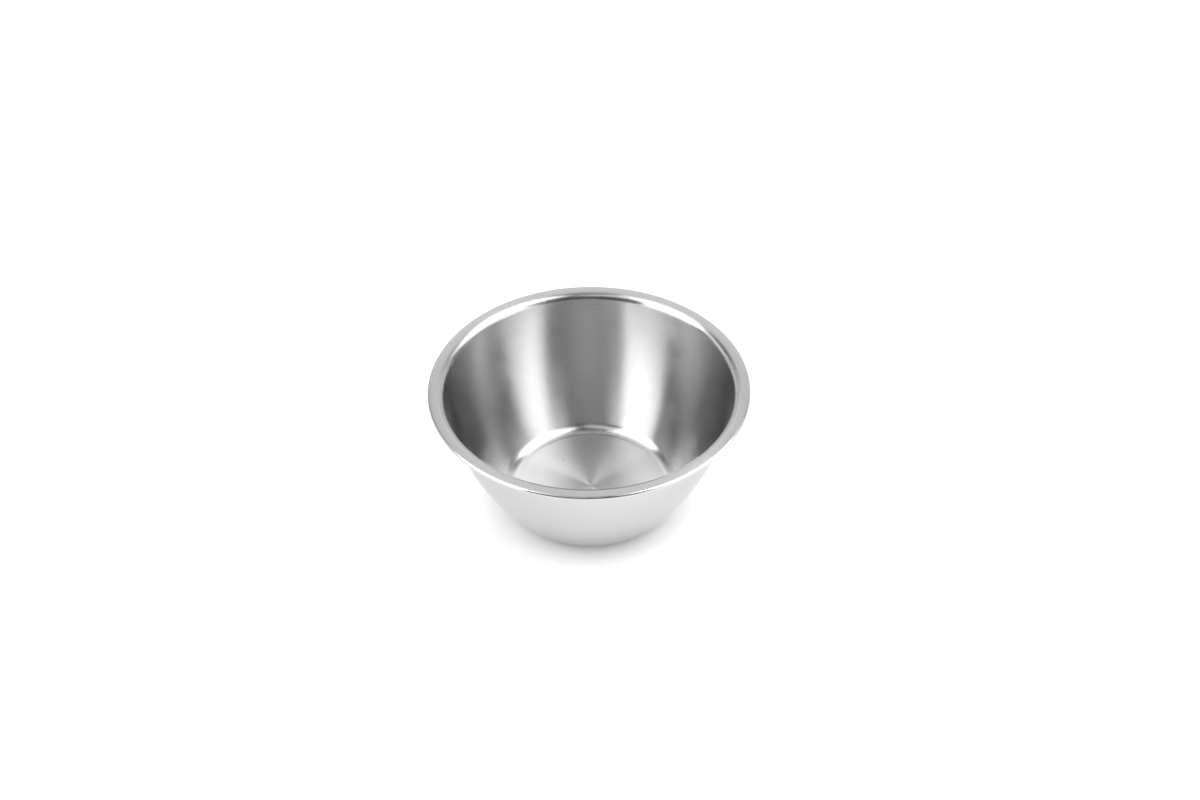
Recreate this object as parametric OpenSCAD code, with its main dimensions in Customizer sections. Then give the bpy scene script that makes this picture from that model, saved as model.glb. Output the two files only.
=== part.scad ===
// Round stainless prep bowl, drawn from one sheet, with a flattened rolled rim.
// Lengths are in millimetres. +Z is up. The origin is the centre of the base.
// The sheet is split at its forming lines: floor, corner, wall, and the rim's
// shoulder, crown and curl.

/* [Overall] */
// Diameter over the rolled rim
bowl_d = 142.875; // [130:0.125:190]
// Height from the table to the top of the rim
bowl_h = 63.5; // [48:0.5:88]
// Thickness of the sheet
sheet_t = 0.7; // [0.45:0.05:0.9]

/* [Floor and wall] */
// Diameter of the flat floor
floor_d = 69.85; // [50:0.05:80]
// Outside radius of the corner between floor and wall
corner_r = 8; // [4:0.5:13]
// Lean of the wall from upright, in degrees, where it meets the rim
top_lean = 10; // [4:1:16]

/* [Rolled rim] */
// Width of the rim, from the inside of the wall to the outer edge
rim_w = 7.2; // [6.5:0.1:11]
// Radius of the shoulder between the wall and the top of the rim
shoulder_r = 3.75; // [2:0.25:4.5]
// Radius of the low crown across the top of the rim
crown_r = 14; // [9:1:40]
// Radius of the rolled outer edge
curl_r = 1.05; // [0.95:0.05:1.9]
// Gap between the end of the rolled edge and the shoulder
seam_gap = 0.8; // [0.5:0.1:2]

/* [Hidden] */

// Smoothness of the round forms
curve_steps = 240;
$fn = curve_steps;

// How far a cutting wedge reaches, as a share of the ring that it cuts
wedge_reach_share = 2;

floor_r = floor_d / 2;
rim_r = bowl_d / 2;
wall_end_a = 90 - top_lean;

// Rim section: radius and height of the centre of each arc.
// The shoulder and the curl both touch the crown from inside.
shoulder_c_r = rim_r - rim_w + shoulder_r;
curl_c_r = rim_r - curl_r;
crown_c_r = (shoulder_c_r + curl_c_r) / 2;
crown_c_z = bowl_h - crown_r;
crown_in_a = asin((crown_c_r - shoulder_c_r) / (crown_r - shoulder_r));
crown_out_a = asin((curl_c_r - crown_c_r) / (crown_r - curl_r));
shoulder_c_z = crown_c_z + (crown_r - shoulder_r) * cos(crown_in_a);
curl_c_z = crown_c_z + (crown_r - curl_r) * cos(crown_out_a);

// The rolled edge returns under the crown and stops short of the shoulder
return_z = curl_c_z - curl_r;
return_rise = return_z + sheet_t - shoulder_c_z;
under_shoulder_r = shoulder_c_r - sqrt(pow(shoulder_r - sheet_t, 2) - pow(return_rise, 2));
seam_r = under_shoulder_r + seam_gap;

// Wall section: one wide arc, tangent to the corner below and to the shoulder above.
// The outer skin leaves the shoulder at wall_top, heading down and inward.
wall_in_dir = [-sin(wall_end_a), cos(wall_end_a)];
wall_top = [shoulder_c_r, shoulder_c_z] + (shoulder_r - sheet_t) * wall_in_dir;
corner_c = [floor_r, corner_r];
wall_rise = wall_top - corner_c;
wall_r = (pow(corner_r, 2) - wall_rise * wall_rise) / (2 * (wall_rise * wall_in_dir + corner_r));
wall_c = wall_top + wall_r * wall_in_dir;
wall_start_a = atan2(corner_c.x - wall_c.x, wall_c.y - corner_c.y);

function on_ray(radius, angle) = radius * [cos(angle), sin(angle)];

// Wedge from the origin that holds every point between two angles
module wedge(radius, from_a, to_a) {
    far = radius * wedge_reach_share;
    polygon([
        [0, 0],
        on_ray(far, from_a),
        on_ray(far, (from_a + to_a) / 2),
        on_ray(far, to_a)
    ]);
}

// Strip of sheet bent round a centre, with its far skin at the given radius
module bent_sheet(centre, radius, from_a, to_a) {
    translate(centre)
        intersection() {
            difference() {
                circle(r = radius);
                circle(r = radius - sheet_t);
            }
            wedge(radius, from_a, to_a);
        }
}

// Flat round floor, which the bowl stands on
module floor_panel() {
    color("silver")
        cylinder(r = floor_r, h = sheet_t);
}

// Radius that turns the floor up into the wall
module base_corner() {
    color("darkgray")
        rotate_extrude()
            bent_sheet(corner_c, corner_r, -90, wall_start_a - 90);
}

// Flared wall, steeper towards the rim
module side_wall() {
    color("lightgray")
        rotate_extrude()
            bent_sheet(wall_c, wall_r, wall_start_a - 90, wall_end_a - 90);
}

// Bend that turns the wall outward into the rim
module rim_shoulder() {
    color("gainsboro")
        rotate_extrude()
            bent_sheet([shoulder_c_r, shoulder_c_z], shoulder_r, 90 + crown_in_a, 90 + wall_end_a);
}

// Low crowned top of the rim
module rim_crown() {
    color("silver")
        rotate_extrude()
            bent_sheet([crown_c_r, crown_c_z], crown_r, 90 - crown_out_a, 90 + crown_in_a);
}

// Rolled outer edge and the return that closes the hollow rim from below
module rim_curl() {
    color("gainsboro")
        rotate_extrude()
            union() {
                bent_sheet([curl_c_r, curl_c_z], curl_r, -90, 90 - crown_out_a);
                translate([seam_r, return_z])
                    square([curl_c_r - seam_r, sheet_t]);
            }
}

floor_panel();
base_corner();
side_wall();
rim_shoulder();
rim_crown();
rim_curl();
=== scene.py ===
"""Prep bowl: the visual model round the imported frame, in metres.

The bowl is one drawn sheet of stainless steel, so each zone of the sheet is a solid of
revolution with its own name, and stands for the CAD node of that zone.
"""
import math

import bpy
from mathutils import Matrix, Vector


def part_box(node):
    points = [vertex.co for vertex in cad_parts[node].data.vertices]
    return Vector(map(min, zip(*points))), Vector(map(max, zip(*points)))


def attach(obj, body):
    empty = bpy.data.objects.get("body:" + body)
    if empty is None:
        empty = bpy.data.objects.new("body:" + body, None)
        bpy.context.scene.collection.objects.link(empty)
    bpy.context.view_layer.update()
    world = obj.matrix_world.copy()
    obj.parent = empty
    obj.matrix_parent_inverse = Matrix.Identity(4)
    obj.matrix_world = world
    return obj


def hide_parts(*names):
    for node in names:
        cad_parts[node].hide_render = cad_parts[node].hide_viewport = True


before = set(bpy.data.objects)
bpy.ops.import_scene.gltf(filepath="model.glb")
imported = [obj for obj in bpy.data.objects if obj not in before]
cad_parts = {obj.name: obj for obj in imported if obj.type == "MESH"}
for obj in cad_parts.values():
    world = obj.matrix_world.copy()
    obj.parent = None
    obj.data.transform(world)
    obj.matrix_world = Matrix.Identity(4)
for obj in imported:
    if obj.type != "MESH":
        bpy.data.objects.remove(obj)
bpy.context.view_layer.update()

MM = 0.001
QUARTER = math.pi / 2

# Sizes read from the frame
FLOOR_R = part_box("floor_panel")[1][0]
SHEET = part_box("floor_panel")[1][2]
RIM_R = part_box("rim_curl")[1][0]
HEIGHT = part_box("rim_crown")[1][2]

# Section sizes, the same as the CAD part's
CORNER_R = 8 * MM
TOP_LEAN = math.radians(10)
RIM_W = 7.2 * MM
SHOULDER_R = 3.75 * MM
CROWN_R = 14 * MM
CURL_R = 1.05 * MM
SEAM_GAP = 0.8 * MM

# Softened edge of the sheet's cut end, seen from below at the seam
EDGE_R = 0.2 * MM

# Smoothness of the meshes
TURN_STEPS = 360
ARC_STEP = math.radians(6)
WALL_STEPS = 40
FLOOR_STEPS = 30
CROWN_STEPS = 6
RETURN_STEPS = 2
EDGE_STEPS = 4
AXIS_LIMIT = 1e-9

# Camera of the photograph, solved from the three printed sizes
CAMERA_AT = Vector((0, -559.5 * MM, 546.9 * MM))
CAMERA_PITCH = math.radians(41.373)
CAMERA_YAW = math.radians(0.496)
CAMERA_ROLL = math.radians(0.599)
CAMERA_LENS = 50.12
CAMERA_SENSOR = 36
CAMERA_NEAR = 10 * MM

# Studio light: a level is how bright a mirror would show it, with white at 1
LAMP_DISTANCE = 1.5
ROOM_BRIGHT_SIDE = (0, 0.56, 0.83)
ROOM_DARK_TILL = 0.76
ROOM_BRIGHT_FROM = 1.0
ROOM_DIM = 0.02
ROOM_BRIGHT = 0.78
ROOM_BELOW = 0.9

# Floor: its paint, its own glow (lowered close to the bowl as a painted contact shadow, full in the open),
# and where it turns plain white
TABLE_PAINT = 0.78
TABLE_GLOW_UNDER_PAINTED_SHADOW = 0.13
TABLE_GLOW_OPEN = 0.38
PAINTED_SHADOW_FADE_FROM = 38 * MM
PAINTED_SHADOW_FADE_TO = 52 * MM
TABLE_WHITE_FROM = 300 * MM
TABLE_WHITE_TO = 700 * MM
TABLE_HALF = 20
TABLE_DROP = 0.1 * MM
WHITE = (1, 1, 1, 1)

# Steel marks: length round the bowl at the mean radius, width across it, and depth
MEAN_R = 50 * MM
BRUSH_LENGTH = 12 * MM
BRUSH_WIDTH = 0.3 * MM
BRUSH_DEPTH = 0.004 * MM
STREAK_LENGTH = 14 * MM
STREAK_WIDTH = 0.6 * MM
STREAK_DEPTH = 0.045 * MM
SCRATCH_LENGTH = 16 * MM
SCRATCH_WIDTH = 0.25 * MM
SCRATCH_DEPTH = 0.0004 * MM
SCRATCH_ANGLES = (25, 140)
WAVE_SIZE = 26 * MM
WAVE_DEPTH = 0.05 * MM
PATCH_SIZE = 14 * MM

# How much the marks change the steel's roughness and its grey
BRUSH_ROUGH = 0.08
PATCH_ROUGH = 0.1
SCRATCH_ROUGH = 0.04
BRUSH_TONE = 0.06
PATCH_TONE = 0.05
STREAK_TONE = 0.15

# Noise levels between which a patch of streaks, and a scratch, fade in
PATCH_FADE = (0.0, 0.18)
SCRATCH_FADE = (0.25, 0.3)

# The grain runs round the bowl, so the gloss spreads a quarter turn from it, along the section
GLOSS_TURN = 0.25


class Section:
    """Centres and angles of the arcs in the sheet's section, as (radius, height) pairs."""

    def __init__(self):
        self.wall_end = QUARTER - TOP_LEAN
        self.corner_c = Vector((FLOOR_R, CORNER_R))

        shoulder_c_r = RIM_R - RIM_W + SHOULDER_R
        curl_c_r = RIM_R - CURL_R
        crown_c_r = (shoulder_c_r + curl_c_r) / 2
        self.crown_c = Vector((crown_c_r, HEIGHT - CROWN_R))
        self.crown_in = math.asin((crown_c_r - shoulder_c_r) / (CROWN_R - SHOULDER_R))
        self.crown_out = math.asin((curl_c_r - crown_c_r) / (CROWN_R - CURL_R))
        shoulder_rise = (CROWN_R - SHOULDER_R) * math.cos(self.crown_in)
        curl_rise = (CROWN_R - CURL_R) * math.cos(self.crown_out)
        self.shoulder_c = Vector((shoulder_c_r, self.crown_c.y + shoulder_rise))
        self.curl_c = Vector((curl_c_r, self.crown_c.y + curl_rise))

        self.return_z = self.curl_c.y - CURL_R
        return_rise = self.return_z + SHEET - self.shoulder_c.y
        under_r = SHOULDER_R - SHEET
        self.seam_r = shoulder_c_r - math.sqrt(under_r ** 2 - return_rise ** 2) + SEAM_GAP

        inward = Vector((-math.sin(self.wall_end), math.cos(self.wall_end)))
        wall_top = self.shoulder_c + under_r * inward
        rise = wall_top - self.corner_c
        self.wall_r = (CORNER_R ** 2 - rise.dot(rise)) / (2 * (rise.dot(inward) + CORNER_R))
        self.wall_c = wall_top + self.wall_r * inward
        lean_in = self.corner_c - self.wall_c
        self.wall_start = math.atan2(lean_in.x, -lean_in.y)


def arc(centre, radius, start, end, facing, steps=None):
    """Run of (point, normal) pairs on an arc; facing is 1 away from its centre, -1 towards it."""
    steps = steps or max(2, math.ceil(abs(end - start) / ARC_STEP))
    run = []
    for i in range(steps + 1):
        angle = start + (end - start) * i / steps
        ray = Vector((math.cos(angle), math.sin(angle)))
        run.append((centre + radius * ray, facing * ray))
    return run


def straight(start, end, normal, steps=1):
    """Run of (point, normal) pairs on a straight line, all with one normal."""
    return [(start.lerp(end, i / steps), Vector(normal)) for i in range(steps + 1)]


def end_cut(start, end):
    """Flat cut across the sheet, from one skin to the other."""
    along = (end - start).normalized()
    return straight(start, end, (along.y, -along.x))


def bent_strip(centre, radius, start, end, steps=None):
    """Closed outline of a bent strip of sheet, as four runs; radius is the far skin's."""
    far = arc(centre, radius, start, end, 1, steps)
    near = arc(centre, radius - SHEET, end, start, -1, steps)
    return [far, end_cut(far[-1][0], near[0][0]), near, end_cut(near[-1][0], far[0][0])]


def ring_point(point, turn):
    """Place in space of a section point, turned about the bowl's axis."""
    return (point.x * math.cos(turn), point.x * math.sin(turn), point.y)


class Ring:
    """Vertices that one section point makes round the axis; a point on the axis makes only one."""

    def __init__(self, first, on_axis):
        self.first = first
        self.on_axis = on_axis

    def vertex(self, step):
        return self.first if self.on_axis else self.first + step


def revolve(name, runs):
    """Solid of revolution from a closed outline of runs, with exact normals on each run."""
    turns = [2 * math.pi * i / TURN_STEPS for i in range(TURN_STEPS)]
    verts, faces, normals = [], [], []
    outline = [point for run in runs for point, _ in run[:-1]]
    rings = []
    for point in outline:
        on_axis = abs(point.x) < AXIS_LIMIT
        rings.append(Ring(len(verts), on_axis))
        verts.extend([ring_point(point, 0)] if on_axis else [ring_point(point, turn) for turn in turns])

    area = sum(a.x * b.y - b.x * a.y for a, b in zip(outline, outline[1:] + outline[:1]))
    ring_index = 0
    for run in runs:
        for (_, n_a), (_, n_b) in zip(run, run[1:]):
            lower, upper = rings[ring_index], rings[(ring_index + 1) % len(rings)]
            ring_index += 1
            if lower.on_axis and upper.on_axis:
                continue
            for i, turn in enumerate(turns):
                j = (i + 1) % TURN_STEPS
                after = turns[j]
                corners = [
                    (lower, i, n_a, turn),
                    (lower, j, n_a, after),
                    (upper, j, n_b, after),
                    (upper, i, n_b, turn),
                ]
                if lower.on_axis:
                    corners = corners[1:]
                if upper.on_axis:
                    corners = corners[:3]
                if area < 0:
                    corners.reverse()
                faces.append([ring.vertex(step) for ring, step, _, _ in corners])
                normals.extend(ring_point(normal, angle) for _, _, normal, angle in corners)

    mesh = bpy.data.meshes.new(name)
    mesh.from_pydata(verts, [], faces)
    mesh.polygons.foreach_set("use_smooth", [True] * len(faces))
    mesh.normals_split_custom_set(normals)
    mesh.update()
    piece = bpy.data.objects.new(name, mesh)
    bpy.context.scene.collection.objects.link(piece)
    return piece


def floor_runs(s):
    """Flat floor disc: underside from the axis outward, cut, top skin back, and down the axis."""
    top = Vector((0, SHEET))
    rim_top = Vector((FLOOR_R, SHEET))
    rim_low = Vector((FLOOR_R, 0))
    low = Vector((0, 0))
    return [
        straight(low, rim_low, (0, -1), FLOOR_STEPS),
        straight(rim_low, rim_top, (1, 0)),
        straight(rim_top, top, (0, 1), FLOOR_STEPS),
        straight(top, low, (0, 0)),
    ]


def corner_runs(s):
    """Radius that turns the floor up into the wall."""
    return bent_strip(s.corner_c, CORNER_R, -QUARTER, s.wall_start - QUARTER)


def wall_runs(s):
    """Flared wall, steeper towards the rim."""
    return bent_strip(s.wall_c, s.wall_r, s.wall_start - QUARTER, s.wall_end - QUARTER, WALL_STEPS)


def shoulder_runs(s):
    """Bend that turns the wall outward into the rim."""
    return bent_strip(s.shoulder_c, SHOULDER_R, QUARTER + s.crown_in, QUARTER + s.wall_end)


def crown_runs(s):
    """Low crowned top of the rim."""
    return bent_strip(s.crown_c, CROWN_R, QUARTER - s.crown_out, QUARTER + s.crown_in, CROWN_STEPS)


def curl_runs(s):
    """Rolled edge with its flat return: outer skin down and inward, softened cut end, inner skin back."""
    outer = arc(s.curl_c, CURL_R, QUARTER - s.crown_out, -QUARTER, 1)
    inner = arc(s.curl_c, CURL_R - SHEET, -QUARTER, QUARTER - s.crown_out, -1)
    round_low = Vector((s.seam_r + EDGE_R, s.return_z + EDGE_R))
    round_top = Vector((s.seam_r + EDGE_R, s.return_z + SHEET - EDGE_R))
    low_edge = arc(round_low, EDGE_R, -QUARTER, -2 * QUARTER, 1, EDGE_STEPS)
    top_edge = arc(round_top, EDGE_R, -2 * QUARTER, -3 * QUARTER, 1, EDGE_STEPS)
    return [
        outer,
        straight(outer[-1][0], low_edge[0][0], (0, -1), RETURN_STEPS),
        low_edge,
        straight(low_edge[-1][0], top_edge[0][0], (-1, 0)),
        top_edge,
        straight(top_edge[-1][0], inner[0][0], (0, 1), RETURN_STEPS),
        inner,
        end_cut(inner[-1][0], outer[0][0]),
    ]


# CAD node of each zone, with its outline and its material slot
ZONES = {
    "floor_panel": (floor_runs, "floor_steel"),
    "base_corner": (corner_runs, "wall_steel"),
    "side_wall": (wall_runs, "wall_steel"),
    "rim_shoulder": (shoulder_runs, "rim_steel"),
    "rim_crown": (crown_runs, "rim_steel"),
    "rim_curl": (curl_runs, "rim_steel"),
}


class Nodes:
    """Short way to add and link the shader nodes of a material or a world."""

    def __init__(self, owner):
        owner.use_nodes = True
        self.tree = owner.node_tree
        self.tree.nodes.clear()

    def link(self, socket, value):
        if isinstance(value, bpy.types.NodeSocket):
            self.tree.links.new(value, socket)
        else:
            socket.default_value = value

    def add(self, kind, inputs=None, **settings):
        node = self.tree.nodes.new(kind)
        for key, value in settings.items():
            setattr(node, key, value)
        for key, value in (inputs or {}).items():
            self.link(node.inputs[key], value)
        return node

    def math(self, operation, *values):
        node = self.add("ShaderNodeMath", operation=operation)
        for socket, value in zip(node.inputs, values):
            self.link(socket, value)
        return node.outputs[0]

    def add_share(self, base, mark, share):
        """The base value, plus a share of a mark's value."""
        return self.math("ADD", base, self.math("MULTIPLY", mark, share))


class Finish:
    """One steel finish: its grey, its gloss, and how strong its waves, grain and marks are."""

    def __init__(self, grey, roughness, grain, wave, brush, streak, scratch):
        self.grey = grey
        self.roughness = roughness
        self.grain = grain
        self.wave = wave
        self.brush = brush
        self.streak = streak
        self.scratch = scratch


# Material of each slot: its name and its finish
FINISHES = {
    "wall_steel": (
        "brushed_wall_steel",
        Finish(grey=0.62, roughness=0.21, grain=0.95, wave=1.0, brush=1.0, streak=1.0, scratch=1.0),
    ),
    "floor_steel": (
        "turned_floor_steel",
        Finish(grey=0.71, roughness=0.3, grain=0.95, wave=0.5, brush=1.0, streak=0.0, scratch=0.0),
    ),
    "rim_steel": (
        "satin_rim_steel",
        Finish(grey=0.68, roughness=0.26, grain=0.8, wave=0.4, brush=0.4, streak=0.0, scratch=0.0),
    ),
}


def round_place(nodes, length, width):
    """Coordinates in which noise of size one makes marks that run round the bowl's axis."""
    place = nodes.add("ShaderNodeTexCoord").outputs["Object"]
    split = nodes.add("ShaderNodeSeparateXYZ", {0: place})
    flat = nodes.add("ShaderNodeCombineXYZ", {"X": split.outputs["X"], "Y": split.outputs["Y"]}).outputs[0]
    radius = nodes.add("ShaderNodeVectorMath", {0: flat}, operation="LENGTH").outputs["Value"]
    ray = nodes.add("ShaderNodeVectorMath", {0: flat}, operation="NORMALIZE").outputs["Vector"]
    turned = nodes.add("ShaderNodeVectorMath", {0: ray, "Scale": MEAN_R / length}, operation="SCALE")
    round_x, round_y = nodes.add("ShaderNodeSeparateXYZ", {0: turned.outputs["Vector"]}).outputs[:2]
    across = nodes.math("MULTIPLY", nodes.math("ADD", radius, split.outputs["Z"]), 1 / width)
    joined = nodes.add("ShaderNodeCombineXYZ", {"X": round_x, "Y": round_y, "Z": across})
    return joined.outputs[0]


def even_place(nodes, size):
    """Coordinates in which noise of size one makes round marks of the given size."""
    place = nodes.add("ShaderNodeTexCoord").outputs["Object"]
    scaled = nodes.add("ShaderNodeVectorMath", {0: place, "Scale": 1 / size}, operation="SCALE")
    return scaled.outputs["Vector"]


def noise(nodes, place, detail, roughness=0.5):
    """Noise centred on zero."""
    texture = nodes.add("ShaderNodeTexNoise", {
        "Vector": place,
        "Scale": 1.0,
        "Detail": detail,
        "Roughness": roughness,
    })
    return nodes.math("SUBTRACT", texture.outputs[0], 0.5)


def fade_in(nodes, value, between):
    """Zero below the first level and one above the second."""
    fade = nodes.add("ShaderNodeMapRange", {"Value": value, "From Min": between[0], "From Max": between[1]})
    return fade.outputs["Result"]


def scratches(nodes, angle):
    """Thin straight marks at one angle: one where the steel is scratched, zero elsewhere."""
    place = nodes.add("ShaderNodeTexCoord").outputs["Object"]
    turned = nodes.add("ShaderNodeMapping", {
        "Vector": place,
        "Rotation": (math.radians(angle / 3), math.radians(angle / 2), math.radians(angle)),
        "Scale": (1 / SCRATCH_LENGTH, 1 / SCRATCH_WIDTH, 1 / SCRATCH_LENGTH),
    })
    field = noise(nodes, turned.outputs["Vector"], detail=1)
    return fade_in(nodes, field, SCRATCH_FADE)


def bump(nodes, height, depth, normal=None):
    """Normal tilted by a height field of the given depth, on top of an earlier normal."""
    inputs = {"Height": height, "Distance": depth, "Strength": 1.0}
    if normal:
        inputs["Normal"] = normal
    return nodes.add("ShaderNodeBump", inputs).outputs["Normal"]


def steel(name, finish):
    """Stainless steel brushed round the bowl's axis, with fine grain, soft streaks and a few scratches."""
    material = bpy.data.materials.new(name)
    nodes = Nodes(material)
    brush = noise(nodes, round_place(nodes, BRUSH_LENGTH, BRUSH_WIDTH), detail=3, roughness=0.6)
    streak = noise(nodes, round_place(nodes, STREAK_LENGTH, STREAK_WIDTH), detail=1)
    patch = noise(nodes, even_place(nodes, PATCH_SIZE), detail=2)
    wave = noise(nodes, even_place(nodes, WAVE_SIZE), detail=0)
    scratch = nodes.math("MAXIMUM", *[scratches(nodes, angle) for angle in SCRATCH_ANGLES])

    # Streaks come and go over the surface
    streak_here = nodes.math("MULTIPLY", streak, fade_in(nodes, patch, PATCH_FADE))

    normal = bump(nodes, wave, WAVE_DEPTH * finish.wave)
    normal = bump(nodes, streak_here, STREAK_DEPTH * finish.streak, normal)
    normal = bump(nodes, brush, BRUSH_DEPTH * finish.brush, normal)
    normal = bump(nodes, scratch, -SCRATCH_DEPTH * finish.scratch, normal)

    roughness = nodes.add_share(finish.roughness, brush, BRUSH_ROUGH * finish.brush)
    roughness = nodes.add_share(roughness, patch, PATCH_ROUGH)
    roughness = nodes.add_share(roughness, scratch, SCRATCH_ROUGH * finish.scratch)
    tone = nodes.add_share(finish.grey, brush, BRUSH_TONE * finish.brush)
    tone = nodes.add_share(tone, patch, PATCH_TONE)
    tone = nodes.add_share(tone, streak_here, STREAK_TONE * finish.streak)
    colour = nodes.add("ShaderNodeCombineColor", {"Red": tone, "Green": tone, "Blue": tone})

    tangent = nodes.add("ShaderNodeTangent", direction_type="RADIAL", axis="Z")
    shader = nodes.add("ShaderNodeBsdfPrincipled", {
        "Base Color": colour.outputs[0],
        "Metallic": 1,
        "Roughness": roughness,
        "Anisotropic": finish.grain,
        "Anisotropic Rotation": GLOSS_TURN,
        "Tangent": tangent.outputs[0],
        "Normal": normal,
    })
    nodes.add("ShaderNodeOutputMaterial", {"Surface": shader.outputs[0]})
    return material


def make_bowl():
    """One dressed piece for each zone of the sheet."""
    section = Section()
    materials = {slot: steel(name, finish) for slot, (name, finish) in FINISHES.items()}
    for node, (runs, slot) in ZONES.items():
        piece = revolve(node + "_sheet", runs(section))
        piece.data.materials.append(materials[slot])
        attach(piece, "root")
        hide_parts(node)


def make_camera():
    """Camera at the photograph's place, with a small roll."""
    camera = bpy.data.cameras.new("camera")
    camera.lens = CAMERA_LENS
    camera.sensor_width = CAMERA_SENSOR
    camera.sensor_fit = "HORIZONTAL"
    camera.clip_start = CAMERA_NEAR
    holder = bpy.data.objects.new("camera", camera)
    turn = Matrix.Rotation(-CAMERA_YAW, 4, "Z") @ Matrix.Rotation(QUARTER - CAMERA_PITCH, 4, "X")
    holder.matrix_world = Matrix.Translation(CAMERA_AT) @ turn @ Matrix.Rotation(-CAMERA_ROLL, 4, "Z")
    bpy.context.scene.collection.objects.link(holder)
    bpy.context.scene.camera = holder


def make_table():
    """Pale floor: it takes the bowl's shadow, its own glow lifts it, less glow close to the bowl paints a
    darker contact shadow round the base, and far off it is plain white.
    """
    material = bpy.data.materials.new("pale_floor")
    nodes = Nodes(material)
    path = nodes.add("ShaderNodeLightPath")
    seen = nodes.math("MAXIMUM", path.outputs["Is Camera Ray"], path.outputs["Is Glossy Ray"])
    seen = nodes.math("MAXIMUM", seen, path.outputs["Is Transmission Ray"])
    paint = nodes.add("ShaderNodeBsdfDiffuse", {"Color": (TABLE_PAINT, TABLE_PAINT, TABLE_PAINT, 1)})
    place = nodes.add("ShaderNodeTexCoord").outputs["Object"]
    reach = nodes.add("ShaderNodeVectorMath", {0: place}, operation="LENGTH").outputs["Value"]
    # Less glow close to the bowl: a painted contact shadow round the base, added to the cast one
    glow_with_painted_shadow = nodes.add("ShaderNodeMapRange", {
        "Value": reach,
        "From Min": PAINTED_SHADOW_FADE_FROM,
        "From Max": PAINTED_SHADOW_FADE_TO,
        "To Min": TABLE_GLOW_UNDER_PAINTED_SHADOW,
        "To Max": TABLE_GLOW_OPEN,
    })
    glow = nodes.add("ShaderNodeEmission", {"Color": WHITE, "Strength": glow_with_painted_shadow.outputs["Result"]})
    lifted = nodes.add("ShaderNodeAddShader", {0: paint.outputs[0], 1: glow.outputs[0]})
    surface = nodes.add("ShaderNodeMixShader", {0: seen, 1: paint.outputs[0], 2: lifted.outputs[0]})
    far = fade_in(nodes, reach, (TABLE_WHITE_FROM, TABLE_WHITE_TO))
    white = nodes.add("ShaderNodeEmission", {"Color": WHITE, "Strength": 1.0})
    open_floor = nodes.math("MULTIPLY", far, seen)
    surface = nodes.add("ShaderNodeMixShader", {0: open_floor, 1: surface.outputs[0], 2: white.outputs[0]})
    nodes.add("ShaderNodeOutputMaterial", {"Surface": surface.outputs[0]})
    corners = [(x * TABLE_HALF, y * TABLE_HALF, 0) for x, y in ((-1, -1), (1, -1), (1, 1), (-1, 1))]
    mesh = bpy.data.meshes.new("table")
    mesh.from_pydata(corners, [], [(0, 1, 2, 3)])
    mesh.materials.append(material)
    table = bpy.data.objects.new("table", mesh)
    table.location.z = -TABLE_DROP
    bpy.context.scene.collection.objects.link(table)


def direction(azimuth, elevation):
    """Unit vector from the bowl; azimuth in degrees anticlockwise from +X, elevation above the floor."""
    az, el = math.radians(azimuth), math.radians(elevation)
    return Vector((math.cos(el) * math.cos(az), math.cos(el) * math.sin(az), math.sin(el)))


def softbox(name, azimuth, elevation, width, height, roll, radiance):
    """Rectangular softbox that faces the bowl, turned by roll; radiance is its level in a mirror."""
    lamp = bpy.data.lights.new(name, "AREA")
    lamp.shape = "RECTANGLE"
    lamp.size = width
    lamp.size_y = height
    lamp.energy = radiance * math.pi * width * height
    holder = bpy.data.objects.new(name, lamp)
    toward = direction(azimuth, elevation)
    aim = (-toward).to_track_quat("-Z", "Y").to_matrix().to_4x4()
    turn = Matrix.Rotation(math.radians(roll), 4, "Z")
    holder.matrix_world = Matrix.Translation(LAMP_DISTANCE * toward) @ aim @ turn
    holder.visible_camera = False
    bpy.context.scene.collection.objects.link(holder)


def make_world():
    """Soft room light: bright above and behind the bowl, dim elsewhere, pale below the floor."""
    world = bpy.data.worlds.new("studio")
    nodes = Nodes(world)
    coords = nodes.add("ShaderNodeTexCoord")
    toward = {0: coords.outputs["Generated"], 1: ROOM_BRIGHT_SIDE}
    lean = nodes.add("ShaderNodeVectorMath", toward, operation="DOT_PRODUCT")
    glow = nodes.add("ShaderNodeMapRange", {
        "Value": lean.outputs["Value"],
        "From Min": ROOM_DARK_TILL,
        "From Max": ROOM_BRIGHT_FROM,
        "To Min": ROOM_DIM,
        "To Max": ROOM_BRIGHT,
    }, interpolation_type="SMOOTHSTEP")
    height = nodes.add("ShaderNodeSeparateXYZ", {0: coords.outputs["Generated"]}).outputs["Z"]
    below = nodes.math("LESS_THAN", height, 0.0)
    level = nodes.add("ShaderNodeMix", {"Factor": below, "A": glow.outputs["Result"], "B": ROOM_BELOW})
    background = nodes.add("ShaderNodeBackground", {"Color": WHITE, "Strength": level.outputs["Result"]})
    nodes.add("ShaderNodeOutputWorld", {"Surface": background.outputs[0]})
    bpy.context.scene.world = world


def make_light():
    """Room light and softboxes; the long panels cross the wall as its bright bands."""
    make_world()
    softbox("side_right", azimuth=-17, elevation=18, width=3.3, height=1.3, roll=42, radiance=1.6)
    softbox("side_left", azimuth=201, elevation=31, width=1.15, height=3.5, roll=20, radiance=2.0)
    softbox("top_right", azimuth=-7, elevation=60, width=1.4, height=0.9, roll=-4, radiance=3.0)
    softbox("top_left", azimuth=187, elevation=48, width=4.0, height=0.65, roll=46, radiance=1.07)
    softbox("back_strip", azimuth=90, elevation=19, width=5.0, height=1.0, roll=0, radiance=0.55)
    softbox("back_fill", azimuth=51, elevation=32, width=0.65, height=0.5, roll=0, radiance=0.32)


make_camera()
make_table()
make_light()
make_bowl()
bpy.context.scene.view_settings.view_transform = "Standard"
